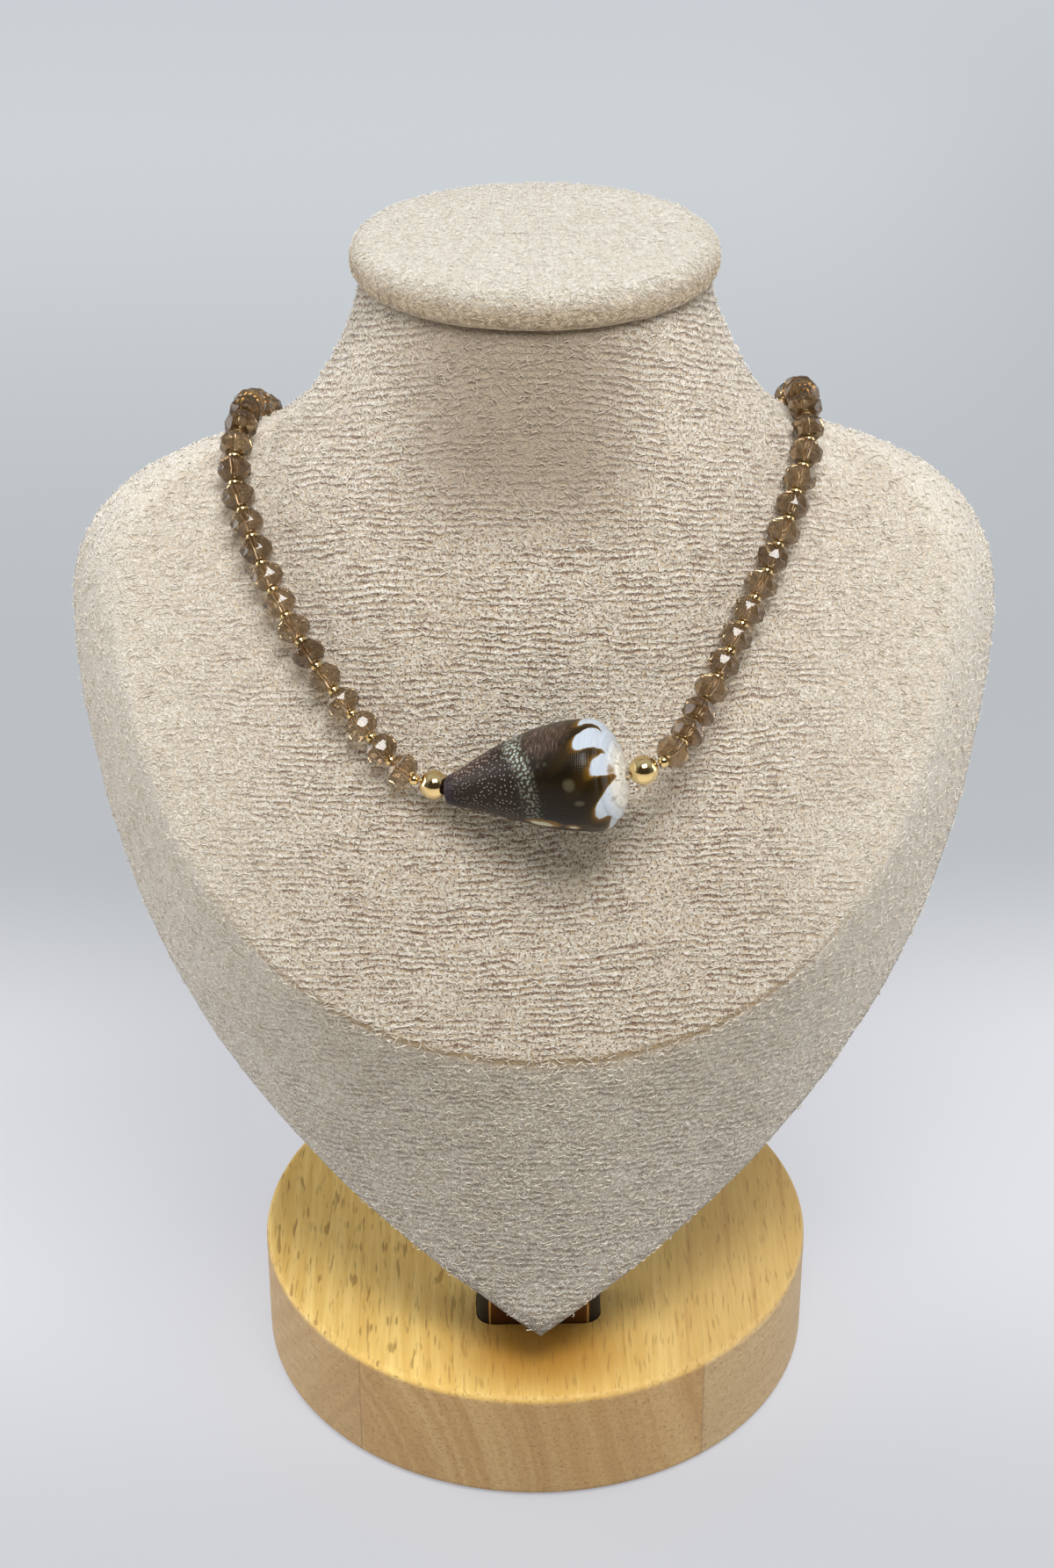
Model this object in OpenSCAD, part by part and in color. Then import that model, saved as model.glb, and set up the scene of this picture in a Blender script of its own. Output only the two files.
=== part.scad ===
// Shell necklace on a neck bust.
// A string of faceted smoky quartz rondelles and small gold balls carries one cone shell. It lies
// on a cloth-covered bust, which leans back over a round wooden base.
// The origin is the middle of the underside of the base, +Z is up and the front faces -Y.

/* [Base and post] */
// Diameter of the wooden base
base_d = 132; // [120:1:160]
// Thickness of the wooden base
base_h = 30; // [24:1:36]
// Radius of the base's rounded edges
base_round = 2; // [1:0.5:4]
// Width of the post
post_w = 29; // [22:1:34]
// Depth of the post from front to back
post_t = 14; // [12:1:18]
// Radius of the post's upright corners
post_round = 4; // [2:0.5:5]
// Distance from the base's middle to the post's front face
post_front = 40; // [36:1:44]
// Depth of the mortise in the base
mortise = 12; // [6:1:18]

/* [Bust] */
// Width of the bust at its widest
bust_w = 200; // [190:1:206]
// Angle at which the bust leans back
lean = 22; // [20:0.5:24]
// Height of the bust's tip over the base
tip_gap = 12; // [10:1:20]
// Distance of the bust's tip in front of the base's middle
tip_front = 58; // [56:1:60]
// Width of the neck under its cap
neck_w = 72; // [68:1:74]
// Depth of the neck under its cap
neck_d = 60; // [58:1:62]
// Height of the neck's top over the floor
neck_z = 274; // [272:1:278]
// Width of the padded cap
cap_w = 76; // [74:1:80]
// Depth of the padded cap
cap_d = 65; // [62:1:68]
// Thickness of the padded cap
cap_h = 9; // [7:0.5:12]

/* [Beads] */
// Diameter of a quartz rondelle across its corners
quartz_d = 7.4; // [7:0.1:7.6]
// Length of a quartz rondelle along the thread
quartz_l = 4.9; // [4.5:0.1:5]
// Diameter of a gold spacer ball
spacer_d = 2.5; // [2.3:0.1:2.5]
// Step from one spacer ball to the next
pitch = 6.2; // [6.2:0.05:6.6]
// Diameter of the two larger gold balls
gold_d = 6; // [5:0.5:6.5]
// Diameter of the thread
thread_d = 0.6; // [0.4:0.1:0.6]

/* [Shell] */
// Length of the shell from tip to spire
shell_l = 38; // [36:1:40]
// Greatest diameter of the shell
shell_d = 24; // [20:0.5:24]

/* [Hidden] */
$fn = 48;
snug = 0.2;
bead_gap = 0.15;

// The bust is drawn in its own leaning plane: x across, up along the back, out to the front
lean_up = [0, sin(lean), cos(lean)];
lean_out = [0, -cos(lean), sin(lean)];
bust_tip = [0, -tip_front, base_h + tip_gap];
// Height over the tip, along the back, of the hub from which the bust's ribs spread
hub = 188;
wide = bust_w / 200;
// How far the rounded shoulders fall towards the back
back_drop = 4;
neck_y = 6;
// How the ribs curve from the neck to the crease: length of the pull down from the neck, how much
// it flares, and the pull outwards and towards the back at the crease
neck_pull = 72;
neck_flare = 0.15;
crease_pull = 0.75;
crease_fall = 0.06;
// Rib angle from which the ribs behind the shoulders grow straight
nape_from = 20;

// The bust's ribs on the right side, from the tip at -90 degrees to the nape at 90:
// angle, distance of the back edge and of the crease from the hub, height of the crease over
// the back, and how round the bevel is between the crease and the back edge
RIBS = [
    [-90, 188, 111, 51, 0.0],
    [-80, 168, 111, 50, 0.0],
    [-70, 152, 110, 48, 0.0],
    [-60, 139, 108, 45, 0.0],
    [-45, 123, 102, 40, 0.0],
    [-30, 111,  95, 35, 0.1],
    [-15, 104,  90, 31, 0.3],
    [ -5, 101,  88, 28, 0.5],
    [  3,  95,  82, 25, 0.8],
    [ 10,  86,  74, 21, 1.0],
    [ 16,  72,  63, 17, 1.0],
    [ 24,  59,  54, 13, 1.0],
    [ 35,  56,  53,  8, 1.0],
    [ 50,  56,  56,  5, 1.0],
    [ 70,  56,  59,  2, 0.5],
    [ 90,  56,  60,  1, 0.0]];

// Places of the strand on the bust, from the shell up to the shoulder: rib angle, place on the
// rib from 0 at the neck to 1 at the crease, and height over the cloth
STRAND_LEFT = [
    [-60, 0.605, 4.1],
    [-50, 0.585, 4.1],
    [-40, 0.573, 4.1],
    [-28, 0.570, 4.1],
    [-16, 0.572, 4.1],
    [ -5, 0.590, 4.1],
    [  4, 0.630, 4.2]];
STRAND_RIGHT = [
    [-61, 0.562, 7.2],
    [-52, 0.529, 4.6],
    [-41, 0.500, 4.1],
    [-28, 0.483, 4.1],
    [-17, 0.474, 4.1],
    [ -4, 0.481, 4.3],
    [  6, 0.510, 4.6]];
// The strand behind the neck, from the left shoulder to the right one
STRAND_BEHIND = [
    [-61.5, 3, 243.3],
    [-61, 9.5, 243.1],
    [-60.5, 16, 241],
    [-58.5, 22.5, 237.3],
    [-54.5, 25.5, 231.5],
    [-48, 26, 225.5],
    [-36, 25.5, 219],
    [-19, 25, 213.5],
    [0, 25, 211.5],
    [19, 25, 213.5],
    [36, 25.5, 219],
    [48, 26, 226],
    [53.5, 25.5, 233],
    [56, 22, 239],
    [56.5, 16, 242.3],
    [57, 9.5, 245.6]];
// The shell's two ends, as places on the bust like the strand's
SHELL_TIP = [-75.5, 0.631, 5.5];
SHELL_SPIRE = [-77, 0.604, 17.6];

// Outline of the shell: place along it from the tip, radius as a part of the greatest, how far
// the whorl bulges upwards from the thread in mm, and depth of the slit as a part of the radius
SHELL_ROWS = [
    [0.025, 0.29, 0.1, 0.25],
    [0.060, 0.33, 0.2, 0.30],
    [0.125, 0.41, 0.6, 0.34],
    [0.256, 0.58, 1.2, 0.34],
    [0.400, 0.75, 1.4, 0.34],
    [0.545, 0.91, 1.4, 0.34],
    [0.685, 0.98, 1.4, 0.34],
    [0.800, 1.00, 1.2, 0.34],
    [0.845, 0.98, 1.0, 0.30]];
// The spire above the shoulder: place, radius and bulge as above
SPIRE_ROWS = [
    [0.860, 0.96, 1.0],
    [0.880, 0.92, 0.8],
    [0.905, 0.83, 0.5],
    [0.930, 0.71, 0.2],
    [0.950, 0.59, 0.1],
    [0.970, 0.44, 0.0],
    [0.988, 0.27, 0.0]];

thread_sides = 8;
// Bores are wider in the pieces where the thread bends
bore_d = 1;
wide_bore_d = 1.3;
// Rondelle: number of facets round it, height of the belt as a part of the length, width of the
// table round the drilled mouth, and turn from one to the next
quartz_sides = 8;
belt = 0.45;
table_w = 0.75;
rondelle_turn = 17;

// A smooth curve from a to b with a pull at each end, at t from 0 to 1
function curve(a, b, pull_a, pull_b, t) =
    a * (2 * t ^ 3 - 3 * t ^ 2 + 1) + pull_a * (t ^ 3 - 2 * t ^ 2 + t)
    + b * (3 * t ^ 2 - 2 * t ^ 3) + pull_b * (t ^ 3 - t ^ 2);
function unit(v) = v / norm(v);
function mix(a, b, t) = a + (b - a) * t;
function clamp01(v) = min(max(v, 0), 1);

// A column of a table as a smooth function of the table's first column
function row_slope(rows, i, c) =
    let(before = max(i - 1, 0), after = min(i + 1, len(rows) - 1))
    i == len(rows) - 1 ? 0 : (rows[after][c] - rows[before][c]) / (rows[after][0] - rows[before][0]);
function row_below(rows, x) = max([for (i = [0 : len(rows) - 2]) if (rows[i][0] <= x || i == 0) i]);
function smooth_row(rows, x, c) =
    let(i = row_below(rows, x), step = rows[i + 1][0] - rows[i][0])
    curve(rows[i][c], rows[i + 1][c], row_slope(rows, i, c) * step,
          row_slope(rows, i + 1, c) * step, (x - rows[i][0]) / step);

// Points of the bust
function leaning(x, up, out) = bust_tip + [x, 0, 0] + up * lean_up + out * lean_out;
function from_hub(phi, r, out) = leaning(r * cos(phi), hub + r * sin(phi), out);
function neck_point(phi) = [neck_w / 2 * cos(phi), neck_y + neck_d / 2 * sin(phi), neck_z];
function crease_point(phi) =
    from_hub(phi, wide * smooth_row(RIBS, phi, 2), smooth_row(RIBS, phi, 3));
function chest_point(phi, t) =
    let(a = neck_point(phi), b = crease_point(phi), span = norm(b - a),
        leave = [neck_flare * cos(phi), neck_flare * sin(phi), -1] * min(neck_pull, 1.5 * span),
        spread = crease_pull * (cos(phi) * [1, 0, 0] + sin(phi) * lean_up) - crease_fall * lean_out,
        arrive = mix(spread * span, b - a, clamp01(phi / nape_from - 1)))
    curve(a, b, leave, arrive, t);
function bevel_point(phi, t) =
    let(soft = clamp01(smooth_row(RIBS, phi, 4)),
        r = wide * mix(smooth_row(RIBS, phi, 2), smooth_row(RIBS, phi, 1), mix(t, sin(90 * t), soft)),
        out = smooth_row(RIBS, phi, 3) * mix(1 - t, cos(90 * t), soft))
    from_hub(phi, r, out) - back_drop * soft * t ^ 2 * lean_up;
function skin(phi, t) = t <= 1 ? chest_point(phi, t) : bevel_point(phi, t - 1);
// Direction away from the cloth
function skin_out(phi, t) =
    unit(cross(skin(phi, t + 0.01) - skin(phi, t - 0.01), skin(phi + 0.1, t) - skin(phi - 0.1, t)));
// A place of the strand: side is -1 on the left and 1 on the right
function over_skin(side, row) =
    let(p = skin(row[0], row[1]) + row[2] * skin_out(row[0], row[1])) [side * p.x, p.y, p.z];

// Skin over rings that climb, each counterclockwise seen from above; the last ring joins the
// first if closed
function ring_faces(rings, sides, closed) = [
    for (j = [0 : rings - (closed ? 1 : 2)], i = [0 : sides - 1])
    let(next = (i + 1) % sides, above = (j + 1) % rings * sides)
    each [[j * sides + i, above + next, j * sides + next], [j * sides + i, above + i, above + next]]];
// Lids over the first and the last ring, as fans from two more points after all the rings
function lid_faces(rings, sides) = [
    for (i = [0 : sides - 1])
    let(next = (i + 1) % sides, last = (rings - 1) * sides)
    each [[rings * sides, i, next], [rings * sides + 1, last + next, last + i]]];

// The shell lies on the cloth with its tip low and its shoulder resting
shell_tip = over_skin(-1, SHELL_TIP);
shell_axis = unit(over_skin(1, SHELL_SPIRE) - shell_tip);
shell_end = shell_tip + shell_l * shell_axis;
shell_up = unit(lean_up - (lean_up * shell_axis) * shell_axis);
shell_r = shell_d / 2;
// The thread turns inside the mouth of the tip and again just past the spire, and the gold balls
// lie half way round each turn
tip_r = 0.25 * shell_r;
mouth_r = 0.21 * shell_r;
mouth_depth = 1.5;
turn_left = shell_tip + mouth_depth / 2 * shell_axis;
turn_right = shell_end + 2 * bead_gap * shell_axis;
way_left = unit(unit(over_skin(-1, STRAND_LEFT[0]) - turn_left) - shell_axis);
way_right = unit(unit(over_skin(1, STRAND_RIGHT[0]) - turn_right) + shell_axis);
gold_left_at = turn_left + ((gold_d + mouth_depth) / 2 + bead_gap) * way_left;
gold_right_at = turn_right + (gold_d / 2 + bead_gap) * way_right;
to_spacer = (gold_d + spacer_d) / 2 + bead_gap;

// The strand as one curve from the first spacer on the left round the neck to that on the right
strand_rows = concat(
    [gold_left_at + to_spacer * way_left],
    [for (row = STRAND_LEFT) over_skin(-1, row)],
    STRAND_BEHIND,
    [for (i = [len(STRAND_RIGHT) - 1 : -1 : 0]) over_skin(1, STRAND_RIGHT[i])],
    [gold_right_at + to_spacer * way_right]);
last_row = len(strand_rows) - 1;
function strand_pull(i) = i == 0 ? end_pull(strand_rows[1] - strand_rows[0], way_left)
    : i == last_row ? end_pull(strand_rows[i] - strand_rows[i - 1], -way_right)
    : (strand_rows[i + 1] - strand_rows[i - 1]) / 2;
// The strand leaves each gold ball between the way of the ball's bore and that of the next bead
function end_pull(step, way) = mix(step, norm(step) * way, 0.6);
strand = concat(
    [for (i = [0 : last_row - 1], t = [0 : 0.1 : 0.95])
        curve(strand_rows[i], strand_rows[i + 1], strand_pull(i), strand_pull(i + 1), t)],
    [strand_rows[last_row]]);
strand_at = [
    for (i = 0, s = 0; i < len(strand);
         i = i + 1, s = i < len(strand) ? s + norm(strand[i] - strand[i - 1]) : s) s];
strand_l = strand_at[len(strand) - 1];
function on_strand(s) =
    let(i = max([for (k = [0 : len(strand) - 2]) if (strand_at[k] <= s) k]))
    mix(strand[i], strand[i + 1], (s - strand_at[i]) / (strand_at[i + 1] - strand_at[i]));

// Balls are counted from the shell on both sides, and the clasp fills what is left at the back
clasp_room = 11;
rondelles = floor((strand_l - clasp_room) / 2 / pitch);
balls_left = [for (i = [0 : rondelles]) on_strand(i * pitch)];
balls_right = [for (i = [0 : rondelles]) on_strand(strand_l - i * pitch)];
clasp_from = balls_left[rondelles];
clasp_to = balls_right[rondelles];
clasp_axis = unit(clasp_to - clasp_from);
clasp_l = norm(clasp_to - clasp_from) - spacer_d - 2 * bead_gap;
clasp_d = 5;
clasp_bore = 3;

// Puts a piece drawn along Z at a point, along an axis, with its X towards side
module placed(at, axis, side) {
    z = unit(axis);
    x = unit(side - (side * z) * z);
    y = cross(z, x);
    multmatrix([[x.x, y.x, z.x, at.x], [x.y, y.y, z.y, at.y], [x.z, y.z, z.z, at.z]]) children();
}

module rounded_disc(d, h, r) {
    rotate_extrude($fn = 96) {
        square([d / 2 - r, h]);
        translate([0, r]) square([d / 2, h - 2 * r]);
        for (z = [r, h - r]) translate([d / 2 - r, z]) circle(r);
    }
}

module rounded_bar(w, t, r, h) {
    linear_extrude(h) {
        square([w - 2 * r, t], center = true);
        square([w, t - 2 * r], center = true);
        for (x = [-1, 1], y = [-1, 1]) translate([x * (w / 2 - r), y * (t / 2 - r)]) circle(r);
    }
}

module drilled_ball(d, bore) {
    difference() {
        sphere(d = d);
        cylinder(h = d + 1, d = bore, center = true);
    }
}

// Base with a mortise for the post
module wood_base() {
    color("burlywood") difference() {
        rounded_disc(base_d, base_h, base_round);
        translate([0, post_t / 2 - post_front, base_h - mortise])
            rounded_bar(post_w + 2 * snug, post_t + 2 * snug, post_round + snug, mortise + 1);
    }
}

// Upright bar whose slanted top lies against the bust's back
module support_post() {
    color("sienna") difference() {
        translate([0, post_t / 2 - post_front, base_h - mortise])
            rounded_bar(post_w, post_t, post_round, neck_z - base_h);
        translate(bust_tip) rotate([-lean, 0, 0])
            translate([-bust_w / 2, -bust_w, -bust_w]) cube([bust_w, bust_w, 3 * bust_w]);
    }
}

bust_ribs = 60;
chest_steps = 10;
bevel_rings = 4;

module bust_form() {
    function rib_angle(i) = let(a = i * 360 / bust_ribs - 90) a <= 90 ? a : 180 - a;
    function rib_side(i) = i * 360 / bust_ribs <= 180 ? 1 : -1;
    places = concat([for (j = [bevel_rings : -1 : 1]) 1 + j / bevel_rings],
                    [for (j = [chest_steps : -1 : 0]) j / chest_steps]);
    points = concat(
        [for (t = places, i = [0 : bust_ribs - 1])
            let(p = skin(rib_angle(i), t)) [rib_side(i) * p.x, p.y, p.z]],
        [from_hub(0, 0, 0), [0, neck_y, neck_z]]);
    color("antiquewhite") polyhedron(points, concat(
        ring_faces(len(places), bust_ribs, false), lid_faces(len(places), bust_ribs)));
}

// Oval pad with a rounded rim
module neck_cap() {
    sides = 48;
    rim = [-90, -45, 0, 0, 30, 60, 90];
    round_r = 0.42 * cap_h;
    points = concat(
        [for (j = [0 : len(rim) - 1], i = [0 : sides - 1])
            let(a = i * 360 / sides, in = round_r * (1 - cos(rim[j])),
                z = (j < 3 ? round_r : cap_h - round_r) + round_r * sin(rim[j]))
            [(cap_w / 2 - in) * cos(a), neck_y + (cap_d / 2 - in) * sin(a), neck_z + z]],
        [[0, neck_y, neck_z], [0, neck_y, neck_z + cap_h]]);
    color("wheat") polyhedron(points, concat(
        ring_faces(len(rim), sides, false), lid_faces(len(rim), sides)));
}

// Section of the shell: a whorl that grows to its lip, and the slit that runs in under the lip.
// The slit's points are angles and depths as parts of the slit's depth
SLIT = [[350, 0], [353, 0.35], [335, 0.5], [312, 0.55], [308, 1], [332, 1], [352, 0.85]];
whorl_sides = 24;
lip_angle = 345;
whorl_start = 0.92;
section_sides = whorl_sides + len(SLIT);
// Angles of a section without a slit, close together where the others have it
function section_angle(i) = i < whorl_sides ? i * lip_angle / whorl_sides
    : mix(lip_angle + 1, 358, (i - whorl_sides) / len(SLIT));
function whorl_radius(a) = a < lip_angle ? mix(whorl_start, 1, a / lip_angle)
    : mix(1, whorl_start, (a - lip_angle) / (360 - lip_angle));
function spire_section(r, bulge) =
    [for (i = [0 : section_sides - 1]) let(a = section_angle(i))
        r * whorl_radius(a) * [cos(a), sin(a)] + [0, bulge]];
function slit_section(r, bulge, depth) = concat(
    [for (i = [0 : whorl_sides - 1]) spire_section(r, bulge)[i]],
    [for (p = SLIT) r * (1 - depth * p[1]) * [cos(p[0]), sin(p[0])] + [0, bulge]]);
function round_section(r) =
    [for (i = [0 : section_sides - 1]) let(a = section_angle(i)) r * [cos(a), sin(a)]];
function lifted(section, z) = [for (p = section) [p.x, p.y, z]];

module shell() {
    rings = concat(
        [lifted(round_section(wide_bore_d / 2), mouth_depth)],
        [lifted(round_section(mouth_r), 0)],
        [lifted(spire_section(tip_r, 0), 0)],
        [for (row = SHELL_ROWS) lifted(slit_section(shell_r * row[1], row[2], row[3]), shell_l * row[0])],
        [for (row = SPIRE_ROWS) lifted(spire_section(shell_r * row[1], row[2]), shell_l * row[0])],
        [lifted(round_section(wide_bore_d / 2), shell_l)]);
    color("saddlebrown") placed(shell_tip, shell_axis, -skin_out(-90, 0.6))
        polyhedron([for (ring = rings) each ring], ring_faces(len(rings), section_sides, true));
}

module gold_bead_left() {
    color("gold") placed(gold_left_at, way_left, lean_up) drilled_ball(gold_d, bore_d);
}

module gold_bead_right() {
    color("gold") placed(gold_right_at, way_right, lean_up) drilled_ball(gold_d, bore_d);
}

// Faceted rondelle: two flat tables with a drilled mouth each, and a belt of facets between them
module rondelle() {
    half = quartz_l / 2;
    step = 360 / quartz_sides;
    mouth = spacer_d / 2 + bead_gap / 2;
    rings = [[mouth, -half, 0], [mouth + table_w, -half, 0], [quartz_d / 2, -half * belt, 0.5],
             [quartz_d / 2, half * belt, 0.5], [mouth + table_w, half, 0], [mouth, half, 0],
             [bore_d / 2, 0, 0]];
    polyhedron(
        [for (ring = rings, i = [0 : quartz_sides - 1])
            let(a = (i + ring[2]) * step) [ring[0] * cos(a), ring[0] * sin(a), ring[1]]],
        ring_faces(len(rings), quartz_sides, true));
}

module rondelle_row(balls) {
    for (i = [0 : rondelles - 1])
        placed((balls[i] + balls[i + 1]) / 2, balls[i + 1] - balls[i], lean_up)
            rotate([0, 0, rondelle_turn * i]) rondelle();
}

module quartz_beads_left() {
    color("rosybrown") rondelle_row(balls_left);
}

module quartz_beads_right() {
    color("rosybrown") rondelle_row(balls_right);
}

module ball_row(balls, turn, clasp_end) {
    for (i = [0 : rondelles]) {
        before = i == 0 ? turn : balls[i - 1];
        after = i == rondelles ? clasp_end : balls[i + 1];
        placed(balls[i], unit(after - balls[i]) + unit(balls[i] - before), lean_up)
            drilled_ball(spacer_d, wide_bore_d);
    }
}

module gold_spacers_left() {
    color("gold") ball_row(balls_left, gold_left_at, clasp_to);
}

module gold_spacers_right() {
    color("gold") ball_row(balls_right, gold_right_at, clasp_from);
}

// Thread from one end of the clasp through every bead and the shell to its other end
module thread() {
    path = concat(
        [clasp_from + (spacer_d / 2 + clasp_bore) * clasp_axis],
        [for (i = [rondelles : -1 : 0]) balls_left[i]],
        [turn_left, turn_right],
        balls_right,
        [clasp_to - (spacer_d / 2 + clasp_bore) * clasp_axis]);
    last = len(path) - 1;
    along = [for (i = [0 : last]) unit(path[min(i + 1, last)] - path[max(i - 1, 0)])];
    side = [for (i = 0, n = unit(cross(along[0], [0, 0, 1])); i <= last;
                 i = i + 1, n = i <= last ? unit(n - (n * along[i]) * along[i]) : n) n];
    points = concat(
        [for (i = [0 : last], k = [0 : thread_sides - 1]) let(a = k * 360 / thread_sides)
            path[i] + thread_d / 2 * (cos(a) * side[i] + sin(a) * cross(along[i], side[i]))],
        [path[0], path[last]]);
    color("tan") polyhedron(points, concat(
        ring_faces(last + 1, thread_sides, false), lid_faces(last + 1, thread_sides)));
}

// Plain barrel with a bore at each end for the thread
module clasp() {
    color("gold") placed((clasp_from + clasp_to) / 2, clasp_axis, lean_up) difference() {
        translate([0, 0, -clasp_l / 2]) rounded_disc(clasp_d, clasp_l, 1);
        for (z = [-clasp_l / 2, clasp_l / 2])
            translate([0, 0, z]) cylinder(h = 2 * clasp_bore + 1, d = bore_d, center = true);
    }
}

wood_base();
support_post();
bust_form();
neck_cap();
shell();
gold_bead_left();
gold_bead_right();
quartz_beads_left();
quartz_beads_right();
gold_spacers_left();
gold_spacers_right();
thread();
clasp();
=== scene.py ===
import math

import bmesh
import bpy
import numpy as np
from mathutils import Matrix, Vector


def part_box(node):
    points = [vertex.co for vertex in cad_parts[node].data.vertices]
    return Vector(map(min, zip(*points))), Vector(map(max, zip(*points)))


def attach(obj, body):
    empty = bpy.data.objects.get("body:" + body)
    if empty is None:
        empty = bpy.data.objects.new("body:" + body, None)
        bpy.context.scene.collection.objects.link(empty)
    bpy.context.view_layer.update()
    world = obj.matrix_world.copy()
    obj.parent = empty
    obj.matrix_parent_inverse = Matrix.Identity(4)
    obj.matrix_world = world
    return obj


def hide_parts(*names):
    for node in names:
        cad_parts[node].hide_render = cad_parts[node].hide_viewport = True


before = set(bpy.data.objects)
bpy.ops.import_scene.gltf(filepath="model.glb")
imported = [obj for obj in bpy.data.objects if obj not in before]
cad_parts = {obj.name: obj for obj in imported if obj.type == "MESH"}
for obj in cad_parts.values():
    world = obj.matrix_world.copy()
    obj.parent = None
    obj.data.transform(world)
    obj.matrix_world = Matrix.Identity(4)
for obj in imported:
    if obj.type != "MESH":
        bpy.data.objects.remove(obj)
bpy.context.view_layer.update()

# ------------------------------------------------------------------------------------ Camera
# The bust is seen from in front and from above, at an arm's length. The middle of the view
# lies a few pixels beside the middle of the photograph.
photo_height = 1785
focal_pixels = 3500
aside_pixels = -9.5
sensor_width = 36
view_lens = bpy.data.cameras.new("view_lens")
view_lens.sensor_width = sensor_width
view_lens.lens = sensor_width * focal_pixels / photo_height
view_lens.shift_x = aside_pixels / photo_height
view_lens.clip_start = 0.01
camera = bpy.data.objects.new("camera", view_lens)
bpy.context.collection.objects.link(camera)
camera.location = (-0.01235, -0.58977, 0.516)
camera.rotation_euler = (math.radians(58.48), 0, math.radians(-1.2))
bpy.context.scene.camera = camera

# -------------------------------------------------------------------------------- Wooden base
# A round block glued up from boards of a pale yellow hardwood that run from front to back,
# so that its front shows end grain. It is turned, rounded at both edges and varnished.


class Wire:
    """What a node gives out; arithmetic on wires adds the Math nodes that do it."""

    def __init__(self, finish, socket):
        self.finish, self.socket = finish, socket

    def other(self, name):
        return Wire(self.finish, self.socket.node.outputs[name])

    def __add__(self, other):
        return self.finish.sums("ADD", self, other)

    def __sub__(self, other):
        return self.finish.sums("SUBTRACT", self, other)

    def __rsub__(self, other):
        return self.finish.sums("SUBTRACT", other, self)

    def __mul__(self, other):
        return self.finish.sums("MULTIPLY", self, other)

    def __truediv__(self, other):
        return self.finish.sums("DIVIDE", self, other)

    def __pow__(self, other):
        return self.finish.sums("POWER", self, other)

    def __abs__(self):
        return self.finish.sums("ABSOLUTE", self)

    __radd__, __rmul__ = __add__, __mul__


class Finish:
    """A material or a world; make() adds a node with its settings and then its inputs."""

    def __init__(self, name, kind="materials"):
        self.owner = getattr(bpy.data, kind).new(name)
        self.owner.use_nodes = True
        self.tree = self.owner.node_tree
        self.tree.nodes.clear()

    def make(self, kind, settings=None, inputs=None, out=0):
        node = self.tree.nodes.new("ShaderNode" + kind)
        for key, value in (settings or {}).items():
            if key == "stops":
                while len(node.color_ramp.elements) < len(value):
                    node.color_ramp.elements.new(1)
                for stop, (place, colour) in zip(node.color_ramp.elements, value):
                    stop.position, stop.color = place, colour
            elif key == "line":
                curve = node.mapping.curves[0]
                for place, height in value[1:-1]:
                    curve.points.new(place, height)
                curve.points[0].location = value[0]
                curve.points[-1].location = value[-1]
                node.mapping.update()
            else:
                setattr(node, key, value)
        for key, value in (inputs or {}).items():
            if isinstance(value, Wire):
                self.tree.links.new(value.socket, node.inputs[key])
            else:
                node.inputs[key].default_value = value
        return Wire(self, node.outputs[out])

    def sums(self, operation, *values):
        return self.make("Math", {"operation": operation}, dict(enumerate(values)))

    def place(self):
        return self.make("TexCoord", out="Object")

    def parts(self, vector):
        split = self.make("SeparateXYZ", None, {0: vector})
        return split, split.other("Y"), split.other("Z")

    def join(self, x, y, z):
        return self.make("CombineXYZ", None, {0: x, 1: y, 2: z})

    def step(self, value, low, high):
        """0 below low, 1 above high, and smooth between them."""
        return self.make("MapRange", {"interpolation_type": "SMOOTHSTEP"},
                         {"Value": value, "From Min": low, "From Max": high})

    def cloud(self, vector, scale, detail=2.0, roughness=0.5):
        return self.make("TexNoise", None, {"Vector": vector, "Scale": scale,
                                            "Detail": detail, "Roughness": roughness})

    def stretched(self, vector, scale):
        return self.make("Mapping", None, {"Vector": vector, "Scale": scale})

    def mixed(self, share, first, second):
        """The colour that turns from first to second as share goes from 0 to 1."""
        return self.make("Mix", {"data_type": "RGBA"}, {0: share, 6: first, 7: second}, out=2)

    def speckle(self, across, along, roundness=1.0):
        """How far each place lies from the middle of its grain, in a field of loose grains."""
        return self.make("TexVoronoi", {"voronoi_dimensions": "2D"}, {
            "Vector": self.join(across, along, 0.0), "Scale": 1.0, "Randomness": roundness})

    def raised(self, height, depth):
        """A surface that stands up by depth, in metres, where height is 1."""
        return self.make("Bump", None, {"Height": height, "Distance": depth, "Strength": 1.0})

    def done(self, surface="BsdfPrincipled", output="OutputMaterial", **inputs):
        """Gives the finished surface its sockets and returns the material or world."""
        names = {key.replace("_", " "): value for key, value in inputs.items()}
        end = self.tree.nodes.new("ShaderNode" + output)
        self.tree.links.new(self.make(surface, None, names).socket, end.inputs["Surface"])
        return self.owner


def paint(red, green, blue):
    """A colour named as on a screen, from 0 to 255, as light."""
    light = [v / 12.92 if v <= 0.04045 else ((v + 0.055) / 1.055) ** 2.4
             for v in (red / 255, green / 255, blue / 255)]
    return (*light, 1.0)


joint_left, joint_right = -0.042, 0.038
joint_width = 0.0001
top_low, top_high = 0.0287, 0.0296
post_foot = -0.049
wood = Finish("varnished_hardwood")
place = wood.place()
across, depth, height = wood.parts(place)
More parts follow.
